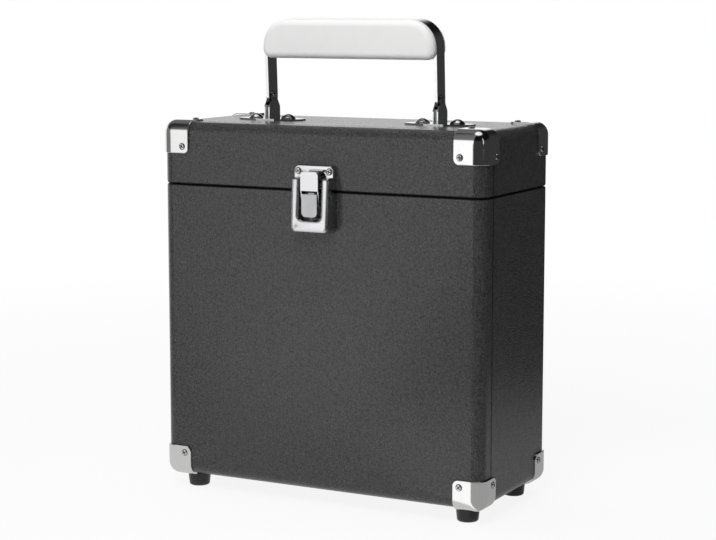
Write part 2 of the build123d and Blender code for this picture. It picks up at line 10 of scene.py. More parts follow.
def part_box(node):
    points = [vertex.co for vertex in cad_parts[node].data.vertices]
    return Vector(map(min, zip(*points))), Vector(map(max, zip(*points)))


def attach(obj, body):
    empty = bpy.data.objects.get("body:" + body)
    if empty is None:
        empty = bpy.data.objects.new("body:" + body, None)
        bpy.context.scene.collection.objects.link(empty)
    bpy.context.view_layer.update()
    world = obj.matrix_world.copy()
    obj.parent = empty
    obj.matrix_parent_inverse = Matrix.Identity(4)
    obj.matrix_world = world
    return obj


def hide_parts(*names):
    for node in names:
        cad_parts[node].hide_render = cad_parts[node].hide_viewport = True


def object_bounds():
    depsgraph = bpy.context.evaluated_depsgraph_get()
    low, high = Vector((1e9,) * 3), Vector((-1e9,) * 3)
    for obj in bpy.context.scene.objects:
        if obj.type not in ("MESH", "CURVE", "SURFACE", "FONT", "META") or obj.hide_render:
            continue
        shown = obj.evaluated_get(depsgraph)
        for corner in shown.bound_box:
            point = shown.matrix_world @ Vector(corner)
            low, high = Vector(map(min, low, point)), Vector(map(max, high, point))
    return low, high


bl_info = {
    "name": "Record case looks",
    "version": (1, 0, 0),
    "blender": (4, 5, 0),
    "location": "View3D > Sidebar > Record case",
    "description": "Dresses a covered record carrying case and sets up its studio",
    "category": "Object",
}

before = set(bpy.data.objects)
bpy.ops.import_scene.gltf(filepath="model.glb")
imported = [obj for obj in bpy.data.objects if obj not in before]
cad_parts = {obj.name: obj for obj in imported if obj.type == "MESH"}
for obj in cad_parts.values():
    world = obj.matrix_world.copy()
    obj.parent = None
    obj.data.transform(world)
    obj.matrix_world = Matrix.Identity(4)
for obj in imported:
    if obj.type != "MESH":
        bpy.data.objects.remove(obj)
cad_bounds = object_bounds()

case_low, case_high = (Vector(v) for v in cad_bounds)

parting_z = (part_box("body_front_covering")[1][2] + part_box("lid_front_covering")[0][2]) / 2
seam_y = (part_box("body_front_covering")[1][1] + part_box("body_back_covering")[0][1]) / 2

# level directions: off the edges of the soft light and the back wall, to the narrow light and across it,
# and the place of the case's right front corner on the floor
left_of_light = (-0.94, 0.342)
left_of_back = (-0.98, -0.17)
to_strip = (0.906, -0.423)
across_strip = (0.423, 0.906)
right_front = (0.17, -0.07)


# ---------------------------------------------------------------- node helpers

def new_material(name):
    """A material with its node tree, its Principled shader and its output."""
    material = bpy.data.materials.new(name)
    material.use_nodes = True
    return material, material.node_tree, material.node_tree.nodes["Principled BSDF"]


def add_node(tree, kind, **values):
    """A node with its properties and unlinked input values set by name."""
    node = tree.nodes.new(kind)
    for name, value in values.items():
        if hasattr(node, name):
            setattr(node, name, value)
        else:
            node.inputs[name.replace("_", " ")].default_value = value
    return node


def link(tree, source, target):
    tree.links.new(source, target)


def mapped(tree, source, from_low, from_high, to_low, to_high):
    """A value taken from one range to another, clamped."""
    node = add_node(tree, "ShaderNodeMapRange", clamp=True)
    for name, value in (("From Min", from_low), ("From Max", from_high),
                        ("To Min", to_low), ("To Max", to_high)):
        node.inputs[name].default_value = value
    link(tree, source, node.inputs["Value"])
    return node.outputs["Result"]


def combined(tree, operation, first, second):
    """Two values joined by one operation; the second may be a plain number."""
    node = add_node(tree, "ShaderNodeMath", operation=operation)
    link(tree, first, node.inputs[0])
    if isinstance(second, (int, float)):
        node.inputs[1].default_value = second
    else:
        link(tree, second, node.inputs[1])
    return node.outputs[0]


def blended(tree, factor, first, second):
    """A colour between two, by a factor."""
    node = add_node(tree, "ShaderNodeMix", data_type="RGBA")
    link(tree, factor, node.inputs["Factor"])
    for socket, value in ((node.inputs[6], first), (node.inputs[7], second)):
        if isinstance(value, bpy.types.NodeSocket):
            link(tree, value, socket)
        else:
            socket.default_value = (*value[:3], 1)
    return node.outputs[2]


def own_place(tree):
    """The place on the piece itself, in metres, which moves with it."""
    return add_node(tree, "ShaderNodeTexCoord").outputs["Object"]


def noise(tree, place, size, detail=2.0, roughness=0.5):
    """Noise whose features are about that size in metres."""
    node = add_node(tree, "ShaderNodeTexNoise", Detail=detail, Roughness=roughness)
    node.inputs["Scale"].default_value = 1 / size
    link(tree, place, node.inputs["Vector"])
    return node.outputs["Fac"]


def bumped(tree, shader, height, distance, strength=1.0):
    """Gives the shader a normal from a height of that many metres."""
    node = add_node(tree, "ShaderNodeBump", Strength=strength, Distance=distance)
    link(tree, height, node.inputs["Height"])
    link(tree, node.outputs["Normal"], shader.inputs["Normal"])
    return node


def new_group(name, inputs, outputs):
    """A shader node group with named sockets; inputs are (name, kind, default)."""
    group = bpy.data.node_groups.new(name, "ShaderNodeTree")
    for socket_name, kind, default in inputs:
        socket = group.interface.new_socket(socket_name, in_out="INPUT", socket_type=kind)
        socket.default_value = default
    for socket_name in outputs:
        group.interface.new_socket(socket_name, in_out="OUTPUT", socket_type="NodeSocketFloat")
    return group, group.nodes.new("NodeGroupInput"), group.nodes.new("NodeGroupOutput")


def placed_group(tree, group, **values):
    node = tree.nodes.new("ShaderNodeGroup")
    node.node_tree = group
    for name, value in values.items():
        node.inputs[name.replace("_", " ")].default_value = value
    return node


# ---------------------------------------------------------------- shared effects

def leather_grain():
    """Pebbled grain: soft cells with creases between them, broken up by finer noise."""
    name = "leather grain"
    if name in bpy.data.node_groups:
        return bpy.data.node_groups[name]
    group, given, result = new_group(
        name, [("Grain Size", "NodeSocketFloat", 0.001)], ["Height", "Crease"])
    place = own_place(group)
    scale = add_node(group, "ShaderNodeMath", operation="DIVIDE")
    scale.inputs[0].default_value = 1.0
    link(group, given.outputs["Grain Size"], scale.inputs[1])
    stir = add_node(group, "ShaderNodeTexNoise", Detail=2.0)
    link(group, place, stir.inputs["Vector"])
    link(group, scale.outputs[0], stir.inputs["Scale"])
    shift = add_node(group, "ShaderNodeVectorMath", operation="SCALE")
    link(group, stir.outputs["Color"], shift.inputs[0])
    link(group, given.outputs["Grain Size"], shift.inputs["Scale"])
    stirred = add_node(group, "ShaderNodeVectorMath", operation="ADD")
    link(group, place, stirred.inputs[0])
    link(group, shift.outputs[0], stirred.inputs[1])
    cells = add_node(group, "ShaderNodeTexVoronoi", feature="DISTANCE_TO_EDGE")
    link(group, stirred.outputs[0], cells.inputs["Vector"])
    link(group, scale.outputs[0], cells.inputs["Scale"])
    pebble = mapped(group, cells.outputs["Distance"], 0.0, 0.28, 0.0, 1.0)
    fine = noise(group, place, 0.0004, 3.0)
    height = combined(group, "ADD", pebble, combined(group, "MULTIPLY", fine, 0.5))
    link(group, height, result.inputs["Height"])
    link(group, mapped(group, cells.outputs["Distance"], 0.0, 0.12, 1.0, 0.0), result.inputs["Crease"])
    return group


def handling_marks():
    """Soft smudges, fine dust specks and short scratches from use, as masks."""
    name = "handling marks"
    if name in bpy.data.node_groups:
        return bpy.data.node_groups[name]
    group, given, result = new_group(
        name, [("Smudge Size", "NodeSocketFloat", 0.03)], ["Smudge", "Speck", "Scratch"])
    place = own_place(group)
    scale = add_node(group, "ShaderNodeMath", operation="DIVIDE")
    scale.inputs[0].default_value = 1.0
    link(group, given.outputs["Smudge Size"], scale.inputs[1])
    smear = add_node(group, "ShaderNodeTexNoise", Detail=4.0, Roughness=0.6)
    link(group, place, smear.inputs["Vector"])
    link(group, scale.outputs[0], smear.inputs["Scale"])
    link(group, mapped(group, smear.outputs["Fac"], 0.35, 0.7, 0.0, 1.0), result.inputs["Smudge"])
    speck = mapped(group, noise(group, place, 0.0009, 1.0), 0.68, 0.78, 0.0, 1.0)
    link(group, speck, result.inputs["Speck"])
    turned = add_node(group, "ShaderNodeMapping")
    turned.inputs["Rotation"].default_value = (0.5, 0.4, 0.7)
    turned.inputs["Scale"].default_value = (1.0, 14.0, 14.0)
    link(group, place, turned.inputs["Vector"])
    streak = noise(group, turned.outputs["Vector"], 0.012, 2.0)
    link(group, mapped(group, streak, 0.66, 0.74, 0.0, 1.0), result.inputs["Scratch"])
    return group


def brush_lines():
    """Fine parallel lines of satin-brushed metal, running along Z and round the bends."""
    name = "brush lines"
    if name in bpy.data.node_groups:
        return bpy.data.node_groups[name]
    group, given, result = new_group(
        name, [("Line Width", "NodeSocketFloat", 0.0003)], ["Height", "Streak"])
    stretched = add_node(group, "ShaderNodeMapping")
    stretched.inputs["Scale"].default_value = (1.0, 1.0, 0.04)
    link(group, own_place(group), stretched.inputs["Vector"])
    scale = add_node(group, "ShaderNodeMath", operation="DIVIDE")
    scale.inputs[0].default_value = 1.0
    link(group, given.outputs["Line Width"], scale.inputs[1])
    lines = add_node(group, "ShaderNodeTexNoise", Detail=2.0)
    link(group, stretched.outputs["Vector"], lines.inputs["Vector"])
    link(group, scale.outputs[0], lines.inputs["Scale"])
    link(group, lines.outputs["Fac"], result.inputs["Height"])
    link(group, mapped(group, noise(group, stretched.outputs["Vector"], 0.002, 2.0), 0.35, 0.65, 0.0, 1.0),
         result.inputs["Streak"])
    return group


# ---------------------------------------------------------------- finishes

def leatherette(settings):
    """Black grained leatherette: painted shade in the creases, painted highlights on the paler and glossier
    tops of the pebbles, painted shade at the parting and the seam, soft wear.
    """
    material, tree, shader = new_material("black_leatherette")
    grain = placed_group(tree, leather_grain(), Grain_Size=settings.grain_size)
    marks = placed_group(tree, handling_marks(), Smudge_Size=0.05)
    colour = Vector(settings.colour)
    # painted light: the pebbles' colour runs from painted shade in the creases to painted highlights on
    # their tops
    painted_pebble_light = mapped(tree, grain.outputs["Height"], 0.3, 1.3, 0.0, 1.0)
    tone = blended(tree, painted_pebble_light, colour * 0.15, colour * 2.2)
    clumps = mapped(tree, noise(tree, own_place(tree), 0.0032, 1.0), 0.35, 0.65, 0.1, 1.0)
    tone = blended(tree, combined(tree, "MULTIPLY", clumps, 0.55), tone, colour * 2.4)
    aged = blended(tree, combined(tree, "MULTIPLY", marks.outputs["Smudge"], 0.2), tone, colour * 1.6)
    # painted shade: the covering is coloured nearly black along the parting groove and the seam, with less
    # coat there
    shade_darkening = painted_seam_shade(tree)
    link(tree, blended(tree, shade_darkening, aged, colour * 0.12), shader.inputs["Base Color"])
    rough = mapped(tree, grain.outputs["Height"], 0.2, 1.2, settings.roughness + 0.14, settings.roughness)
    rough = combined(tree, "ADD", rough, combined(tree, "MULTIPLY", marks.outputs["Smudge"], 0.05))
    link(tree, rough, shader.inputs["Roughness"])
    shader.inputs["Specular IOR Level"].default_value = 0.4
    link(tree, mapped(tree, shade_darkening, 0.0, 1.0, 0.7, 0.0), shader.inputs["Coat Weight"])
    shader.inputs["Coat Roughness"].default_value = 0.22
    soft = noise(tree, own_place(tree), 0.006, 2.0)
    height = combined(tree, "ADD", grain.outputs["Height"], combined(tree, "MULTIPLY", soft, 0.7))
    height = combined(tree, "SUBTRACT", height, combined(tree, "MULTIPLY", shade_darkening, 1.5))
    bumped(tree, shader, height, settings.grain_depth)
    return material


def painted_seam_shade(tree):
    """A mask of painted shade along the parting groove and the covering's seam, where the turned-in edges
    meet.
    """
    split = add_node(tree, "ShaderNodeSeparateXYZ")
    link(tree, own_place(tree), split.inputs[0])
    away = add_node(tree, "ShaderNodeMath", operation="ABSOLUTE")
    link(tree, combined(tree, "SUBTRACT", split.outputs["Z"], parting_z), away.inputs[0])
    parting = mapped(tree, away.outputs[0], 0.0007, 0.0019, 1.0, 0.0)
    aside = add_node(tree, "ShaderNodeMath", operation="ABSOLUTE")
    link(tree, combined(tree, "SUBTRACT", split.outputs["Y"], seam_y), aside.inputs[0])
    return combined(tree, "MAXIMUM", parting, mapped(tree, aside.outputs[0], 0.0007, 0.0017, 0.9, 0.0))


def fibre_board(settings):
    """Raw pressed board, seen only at cut edges and screw holes."""
    material, tree, shader = new_material("fibre_board")
    fibres = noise(tree, own_place(tree), 0.002, 4.0, 0.7)
    colour = Vector(settings.board_colour)
    link(tree, blended(tree, fibres, colour * 0.8, colour * 1.15), shader.inputs["Base Color"])
    shader.inputs["Roughness"].default_value = 0.85
    bumped(tree, shader, fibres, 0.0002)
    return material


def lining_paper(settings):
    """Matt black lining paper with a fine felt-like tooth."""
    material, tree, shader = new_material("lining_paper")
    tooth = noise(tree, own_place(tree), 0.0007, 3.0)
    marks = placed_group(tree, handling_marks(), Smudge_Size=0.05)
    colour = Vector(settings.lining_colour)
    dusty = blended(tree, combined(tree, "MULTIPLY", marks.outputs["Speck"], 0.4), colour, colour * 3)
    link(tree, blended(tree, tooth, dusty, colour * 0.7), shader.inputs["Base Color"])
    shader.inputs["Roughness"].default_value = 0.8
    bumped(tree, shader, tooth, 0.0001)
    return material


def brushed_nickel(settings):
    """Satin nickel plating with fine brush lines and a few handling marks."""
    material, tree, shader = new_material("brushed_nickel")
    lines = placed_group(tree, brush_lines(), Line_Width=0.0003)
    marks = placed_group(tree, handling_marks(), Smudge_Size=0.012)
    colour = Vector(settings.nickel_colour)
    tone = blended(tree, lines.outputs["Streak"], colour * 0.97, colour)
    link(tree, tone, shader.inputs["Base Color"])
    shader.inputs["Metallic"].default_value = 1.0
    rough = combined(tree, "MULTIPLY", lines.outputs["Streak"], 0.05)
    rough = combined(tree, "ADD", rough, settings.nickel_roughness)
    rough = combined(tree, "ADD", rough, combined(tree, "MULTIPLY", marks.outputs["Smudge"], 0.05))
    link(tree, rough, shader.inputs["Roughness"])
    bumped(tree, shader, lines.outputs["Height"], 0.000006, 0.5)
    return material


def plated_steel(name, colour, roughness):
    """Bright plated steel with faint smudges, pin scratches and a slightly uneven surface."""
    material, tree, shader = new_material(name)
    marks = placed_group(tree, handling_marks(), Smudge_Size=0.009)
    colour = Vector(colour)
    link(tree, blended(tree, marks.outputs["Scratch"], colour, colour * 0.8), shader.inputs["Base Color"])
    shader.inputs["Metallic"].default_value = 1.0
    rough = mapped(tree, marks.outputs["Smudge"], 0.0, 1.0, roughness, roughness + 0.07)
    link(tree, rough, shader.inputs["Roughness"])
    bumped(tree, shader, noise(tree, own_place(tree), 0.006, 1.0), 0.000012, 0.5)
    return material


def crowned_chrome(settings):
    """Polished chrome on a pressing whose faces are drawn round towards their edges."""
    material = plated_steel("latch_frame_chrome", settings.latch_colour, 0.07)
    tree = material.node_tree
    bump = next(node for node in tree.nodes if node.type == "BUMP")
    drawn = add_node(tree, "ShaderNodeBevel", samples=8)
    drawn.inputs["Radius"].default_value = settings.frame_crown
    link(tree, drawn.outputs["Normal"], bump.inputs["Normal"])
    return material


def moulded_grip(settings):
    """Off-white moulded plastic, slightly soft to the touch, with the finest of textures."""
    material, tree, shader = new_material("grip_plastic")
    marks = placed_group(tree, handling_marks(), Smudge_Size=0.03)
    colour = Vector(settings.grip_colour)
    soiled = combined(tree, "MULTIPLY", marks.outputs["Smudge"], 0.35)
    link(tree, blended(tree, soiled, colour, colour * 0.93), shader.inputs["Base Color"])
    link(tree, mapped(tree, marks.outputs["Smudge"], 0.0, 1.0, 0.36, 0.46), shader.inputs["Roughness"])
    bumped(tree, shader, noise(tree, own_place(tree), 0.0008, 2.0), 0.00003, 0.6)
    return material


def dark_recess_and_shadow_ring(settings):
    """Dark dull metal for the inside of a driver recess, and a painted shadow ring round each screw head.
    """
    name = "dark_recess_and_shadow_ring"
    if name in bpy.data.materials:
        return bpy.data.materials[name]
    material, tree, shader = new_material(name)
    marks = placed_group(tree, handling_marks(), Smudge_Size=0.0015)
    colour = Vector(settings.screw_colour)
    dull = blended(tree, marks.outputs["Smudge"], colour * 0.05, colour * 0.16)
    link(tree, dull, shader.inputs["Base Color"])
    shader.inputs["Metallic"].default_value = 0.6
    shader.inputs["Roughness"].default_value = 0.55
    return material


def foot_rubber(settings):
    """Moulded black rubber with a dull skin and some dust near the floor."""
    material, tree, shader = new_material("foot_rubber")
    marks = placed_group(tree, handling_marks(), Smudge_Size=0.01)
    colour = Vector(settings.rubber_colour)
    split = add_node(tree, "ShaderNodeSeparateXYZ")
    link(tree, own_place(tree), split.inputs[0])
    low = mapped(tree, split.outputs["Z"], 0.0, 0.004, 1.0, 0.0)
    dust = combined(tree, "MULTIPLY", combined(tree, "MULTIPLY", low, marks.outputs["Smudge"]), 0.6)
    link(tree, blended(tree, dust, colour, (0.12, 0.115, 0.11)), shader.inputs["Base Color"])
    link(tree, mapped(tree, marks.outputs["Smudge"], 0.0, 1.0, 0.24, 0.4), shader.inputs["Roughness"])
    bumped(tree, shader, noise(tree, own_place(tree), 0.0012, 3.0), 0.00008, 0.6)
    return material


# ---------------------------------------------------------------- pieces

def dress(names, material):
    """Gives carried-over solids their finish."""
    for name in names:
        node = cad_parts[name]
        node.data.materials.clear()
        node.data.materials.append(material)


def named(start="", end=""):
    """The solids whose names start and end so."""
    return sorted(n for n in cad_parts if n.startswith(start) and n.endswith(end))


def separate_pieces(node_name):
    """The corner points of each loose piece of a node, as (lowest, highest)."""
    mesh = bmesh.new()
    mesh.from_mesh(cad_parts[node_name].data)
    bmesh.ops.remove_doubles(mesh, verts=mesh.verts, dist=1e-6)
    left, boxes = set(mesh.verts), []
    while left:
        front = [left.pop()]
        members = []
        while front:
            vertex = front.pop()
            members.append(vertex.co.copy())
            for edge in vertex.link_edges:
                other = edge.other_vert(vertex)
                if other in left:
                    left.remove(other)
                    front.append(other)
        low = Vector(min(c[i] for c in members) for i in range(3))
        high = Vector(max(c[i] for c in members) for i in range(3))
        boxes.append((low, high))
    mesh.free()
    return sorted(boxes, key=lambda b: tuple(round(v, 5) for v in (*b[0], *b[1])))


def lathed(profile, segments):
    """A closed turned mesh about Z from (radius, height) points, from the top down to the axis."""
    mesh = bmesh.new()
    rings = []
    for radius, height in profile:
        if radius == 0:
            rings.append([mesh.verts.new((0, 0, height))])
        else:
            rings.append([mesh.verts.new((radius * math.cos(t), radius * math.sin(t), height))
                          for t in (2 * math.pi * i / segments for i in range(segments))])
    for upper, lower in zip(rings, rings[1:]):
        for i in range(segments):
            corners = [upper[i % len(upper)], lower[i % len(lower)],
                       lower[(i + 1) % len(lower)], upper[(i + 1) % len(upper)]]
            unique = [v for k, v in enumerate(corners) if v not in corners[:k]]
            mesh.faces.new(unique)
    bmesh.ops.recalc_face_normals(mesh, faces=mesh.faces)
    return mesh


def softened(node_name, body, material, width, crowned):
    """A pressing with rounded edges that stands for the plain solid; its faces are flat or crowned."""
    mesh = bmesh.new()
    mesh.from_mesh(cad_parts[node_name].data)
    bmesh.ops.remove_doubles(mesh, verts=mesh.verts, dist=1e-6)
    bmesh.ops.dissolve_limit(mesh, angle_limit=math.radians(1), verts=mesh.verts, edges=mesh.edges)
    sharp = [e for e in mesh.edges if len(e.link_faces) == 2 and e.calc_face_angle(0) > math.radians(35)]
    bmesh.ops.bevel(mesh, geom=sharp, offset=width, segments=3, profile=0.5, affect="EDGES",
                    clamp_overlap=True)
    piece = as_object(node_name + "_pressing", mesh)
    piece.data.materials.append(material)
    piece.data.shade_smooth()
    piece.data.set_sharp_from_angle(angle=math.radians(40))
    if not crowned:
        flat = piece.modifiers.new("flat faces", "WEIGHTED_NORMAL")
        flat.keep_sharp, flat.weight = True, 100
    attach(piece, body)
    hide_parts(node_name)
    return piece


def cross_cutter(reach, width, depth, top):
    """A four-armed driver tip that narrows downwards."""
    mesh = bmesh.new()
    for turn in (0, math.pi / 2):
        made = bmesh.ops.create_cube(mesh, size=1)["verts"]
        for vertex in made:
            x, y, z = vertex.co
            narrow = 1.0 if z > 0 else 0.8
            vertex.co = Vector((2 * reach * x * narrow, width * y * (1.0 if z > 0 else 0.7),
                                top + 0.0005 if z > 0 else top - depth))
        bmesh.ops.rotate(mesh, verts=made, cent=(0, 0, 0), matrix=Matrix.Rotation(turn, 3, "Z"))
    return mesh


def as_object(name, mesh):
    data = bpy.data.meshes.new(name)
    mesh.to_mesh(data)
    mesh.free()
    item = bpy.data.objects.new(name, data)
    bpy.context.scene.collection.objects.link(item)
    return item


def screw_head_mesh(radius, height):
    """A low pan head seated at z = 0; its cross recess and the painted shadow ring round it are the second
    material.
    """
    dome = [(0, height)]
    for share, level in ((0.5, 0.995), (0.8, 0.975), (0.9, 0.88), (0.97, 0.6), (1.0, 0.15)):
        dome.append((radius * share, height * level))
    # a flat ring out past the head, which takes the second material as a painted shadow ring
    dome += [(radius, height * 0.05), (radius * 1.16, height * 0.03), (radius * 1.16, 0), (0, 0)]
    head = as_object("head_blank", lathed(dome, 32))
    tip = as_object("driver_tip", cross_cutter(radius * 0.78, radius * 0.4, height * 0.8, height))
    for item in (head, tip):
        item.data.materials.append(None)
        item.data.materials.append(None)
    for face in tip.data.polygons:
        face.material_index = 1
    # the lowest rim and the flat ring round the head take the second material, a painted shadow ring
    for face in head.data.polygons:
        if Vector(face.center[:2]).length > radius * 0.99:
            face.material_index = 1
    cut = head.modifiers.new("recess", "BOOLEAN")
    cut.operation, cut.object, cut.solver = "DIFFERENCE", tip, "EXACT"
    cut.use_self = True
    bpy.context.view_layer.update()
    shaped = head.evaluated_get(bpy.context.evaluated_depsgraph_get())
    data = bpy.data.meshes.new_from_object(shaped)
    for item in (head, tip):
        bpy.data.objects.remove(item)
    return data


def cross_head_screws(node_name, body, head_height, material, recess_material, first_turn):
    """One piece of cross-recess heads that stands for a node of small screws."""
    joined = bmesh.new()
    middle = (case_low + case_high) / 2
    for index, (low, high) in enumerate(separate_pieces(node_name)):
        span = high - low
        axis = max(range(3), key=lambda i: span[i])
        across = min(span[i] for i in range(3) if i != axis)
        outward = 1 if (low + high)[axis] / 2 > middle[axis] else -1
        facing = Vector([outward if i == axis else 0 for i in range(3)])
        seat = (low + high) / 2
        seat[axis] = (high if outward > 0 else low)[axis] - outward * head_height
        data = screw_head_mesh(across / 2, head_height)
        turn = Matrix.Rotation(math.radians(first_turn + 53 * index), 4, "Z")
        outwards = facing.to_track_quat("Z", "Y").to_matrix().to_4x4()
        data.transform(Matrix.Translation(seat) @ outwards @ turn)
        joined.from_mesh(data)
        bpy.data.meshes.remove(data)
    piece = as_object(node_name + "_heads", joined)
    piece.data.materials.append(material)
    piece.data.materials.append(recess_material)
    piece.data.shade_smooth()
    piece.data.set_sharp_from_angle(angle=math.radians(35))
    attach(piece, body)
    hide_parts(node_name)
    return piece


# ---------------------------------------------------------------- stage

def along(tree, place, direction):
    """How far a place or direction lies along a level direction."""
    node = add_node(tree, "ShaderNodeVectorMath", operation="DOT_PRODUCT")
    link(tree, place, node.inputs[0])
    node.inputs[1].default_value = (*direction, 0)
    return node.outputs["Value"]


def tone_by_direction(name, levels, behind_levels):
    """A group that turns a place, seen from the middle, into the brightness of what lies that way.

    Levels in front are (distance left of the soft light's right edge, brightness); behind there are
    a dark and a pale side."""
    if name in bpy.data.node_groups:
        return bpy.data.node_groups[name]
    group = bpy.data.node_groups.new(name, "ShaderNodeTree")
    group.interface.new_socket("Place", in_out="INPUT", socket_type="NodeSocketVector")
    group.interface.new_socket("Tone", in_out="OUTPUT", socket_type="NodeSocketFloat")
    given, result = group.nodes.new("NodeGroupInput"), group.nodes.new("NodeGroupOutput")
    towards = add_node(group, "ShaderNodeVectorMath", operation="NORMALIZE")
    link(group, given.outputs["Place"], towards.inputs[0])
    direction = towards.outputs["Vector"]
    ramp = add_node(group, "ShaderNodeValToRGB")
    for across, level in levels:
        stop = ramp.color_ramp.elements.new((across + 1) / 2)
        stop.color = (level, level, level, 1)
    ramp.color_ramp.elements.remove(ramp.color_ramp.elements[0])
    ramp.color_ramp.elements.remove(ramp.color_ramp.elements[-1])
    leftward = mapped(group, along(group, direction, left_of_light), -1.0, 1.0, 0.0, 1.0)
    link(group, leftward, ramp.inputs["Fac"])
    behind = mapped(group, along(group, direction, left_of_back), -0.02, 0.12, *behind_levels)
    backwards = mapped(group, along(group, direction, (0, 1)), -0.1, 0.1, 0.0, 1.0)
    link(group, blended(group, backwards, ramp.outputs["Color"], behind), result.inputs["Tone"])
    return group


def room_tone(settings):
    """The room: a tall soft light left of the camera, a dim wall beside it, a pale wall behind."""
    levels = ((-0.05, settings.dark_room), (0.0, settings.soft_light * 1.15), (0.14, settings.soft_light),
              (0.27, settings.soft_light * 0.9), (0.36, settings.left_wall))
    return tone_by_direction("room tone", levels, (settings.dark_room, settings.back_wall))


def painted_near_floor_glow(settings):
    """The floor round the case as metal sees it: a painted reflection of the soft light before the right
    front corner, and painted shadow beside the case.
    """
    levels = ((-0.05, settings.floor_shade), (0.0, settings.soft_light), (0.3, settings.soft_light),
              (0.5, settings.floor_left))
    return tone_by_direction("near floor tone", levels, (settings.floor_shade, settings.floor_left))


def studio_world(settings):
    """White for the camera; in the metal a dim room, pale to the left, with a narrow light at the right."""
    world = bpy.data.worlds.new("studio")
    world.use_nodes = True
    tree = world.node_tree
    ground = tree.nodes["Background"]
    place = add_node(tree, "ShaderNodeTexCoord").outputs["Generated"]
    split = add_node(tree, "ShaderNodeSeparateXYZ")
    link(tree, place, split.inputs[0])
    tone = placed_group(tree, room_tone(settings))
    link(tree, place, tone.inputs["Place"])
    under_ceiling = mapped(tree, split.outputs["Z"], 0.28, 0.45, 1.0, settings.ceiling)
    walls = combined(tree, "MULTIPLY", tone.outputs["Tone"], under_ceiling)
    above = mapped(tree, split.outputs["Z"], 0.92, 0.95, 0.0, settings.overhead)
    walls = combined(tree, "ADD", walls, above)
    aside = combined(tree, "ABSOLUTE", along(tree, place, across_strip), 0)
    strip = mapped(tree, aside, 0.015, 0.035, settings.strip_light, 0.0)
    ahead = mapped(tree, along(tree, place, to_strip), 0.3, 0.4, 0.0, 1.0)
    strip = combined(tree, "MULTIPLY", strip, ahead)
    strip = combined(tree, "MULTIPLY", strip, mapped(tree, split.outputs["Z"], 0.5, 0.7, 1.0, 0.0))
    room = combined(tree, "ADD", walls, strip)
    path = add_node(tree, "ShaderNodeLightPath")
    link(tree, blended(tree, path.outputs["Is Camera Ray"], room, (1, 1, 1)), ground.inputs["Color"])
    bpy.context.scene.world = world


def painted_floor_glow(tree, place, settings):
    """How bright metal sees the floor, painted as a glow: painted light before the case, painted shadow
    beside it, and like the room far away.
    """
    from_corner = add_node(tree, "ShaderNodeVectorMath", operation="SUBTRACT")
    link(tree, place, from_corner.inputs[0])
    from_corner.inputs[1].default_value = (*right_front, 0)
    near = placed_group(tree, painted_near_floor_glow(settings))
    link(tree, from_corner.outputs["Vector"], near.inputs["Place"])
    far = placed_group(tree, room_tone(settings))
    link(tree, place, far.inputs["Place"])
    distance = add_node(tree, "ShaderNodeVectorMath", operation="LENGTH")
    link(tree, place, distance.inputs[0])
    away = mapped(tree, distance.outputs["Value"], 0.35, 0.8, 0.0, 1.0)
    return blended(tree, away, near.outputs["Tone"], far.outputs["Tone"]), distance.outputs["Value"]


def pale_floor(settings):
    """A wide pale floor that keeps the case's shadow and runs into the white behind; in metal it shows a
    painted glow of light and shadow instead.
    """
    mesh = bmesh.new()
    bmesh.ops.create_circle(mesh, cap_ends=True, segments=96, radius=14)
    floor = as_object("floor", mesh)
    material, tree, shader = new_material("pale_floor")
    shader.inputs["Roughness"].default_value = 1.0
    shader.inputs["Specular IOR Level"].default_value = 0.0
    path = add_node(tree, "ShaderNodeLightPath")
    painted_floor_reflection, distance = painted_floor_glow(tree, own_place(tree), settings)
    white = mapped(tree, distance, 0.5, 1.6, settings.floor_lift, 1.0)
    seen = combined(tree, "MULTIPLY", path.outputs["Is Camera Ray"], white)
    keep = blended(tree, seen, settings.floor_colour, (0, 0, 0))
    # for glossy rays the floor is black and glows with painted light and painted shadow
    link(tree, blended(tree, path.outputs["Is Glossy Ray"], keep, (0, 0, 0)), shader.inputs["Base Color"])
    glow = blended(tree, path.outputs["Is Glossy Ray"], seen, painted_floor_reflection)
    link(tree, glow, shader.inputs["Emission Color"])
    shader.inputs["Emission Strength"].default_value = 1.0
    floor.data.materials.append(material)
    return floor


def softbox(name, place, aim, width, height, radiance):
    """A rectangular soft light of that brightness over its face, which metal doesn't mirror."""
    light = bpy.data.lights.new(name, "AREA")
    light.shape, light.size, light.size_y = "RECTANGLE", width, height
    light.energy = radiance * math.pi * width * height
    item = bpy.data.objects.new(name, light)
    item.location = place
    item.rotation_euler = (Vector(aim) - Vector(place)).to_track_quat("-Z", "Y").to_euler()
    item.visible_glossy = False
    bpy.context.scene.collection.objects.link(item)
    return item


def photo_camera(settings):
    """The camera at the photograph's place and angle."""
    data = bpy.data.cameras.new("camera")
    data.lens = settings.lens
    camera = bpy.data.objects.new("camera", data)
    camera.location = settings.place
    camera.rotation_euler = (math.pi / 2 - settings.pitch, 0, settings.turn)
    bpy.context.scene.collection.objects.link(camera)
    bpy.context.scene.camera = camera


# ---------------------------------------------------------------- settings

def colour_setting(name, description, default):
    return FloatVectorProperty(name=name, description=description, default=default, subtype="COLOR",
                               size=3, min=0, max=1)


class CoveringSettings(bpy.types.PropertyGroup):
    """The leatherette on the outside of the box and lid."""
    colour: colour_setting("Colour", "Colour of the leatherette", (0.034, 0.034, 0.035))
    roughness: FloatProperty(name="Roughness", description="Dullness of the pebbles' tops", default=0.3,
                             min=0, max=1, subtype="FACTOR")
    grain_size: FloatProperty(name="Grain size", description="Width of one pebble", default=0.0024,
                              min=0.0002, max=0.01, unit="LENGTH")
    grain_depth: FloatProperty(name="Grain depth", description="Depth of the creases", default=0.0008,
                               min=0, max=0.001, unit="LENGTH")


class InsideSettings(bpy.types.PropertyGroup):
    """The boards and the lining."""
    board_colour: colour_setting("Board", "Colour of the raw board", (0.45, 0.33, 0.21))
    lining_colour: colour_setting("Lining", "Colour of the lining paper", (0.03, 0.03, 0.03))


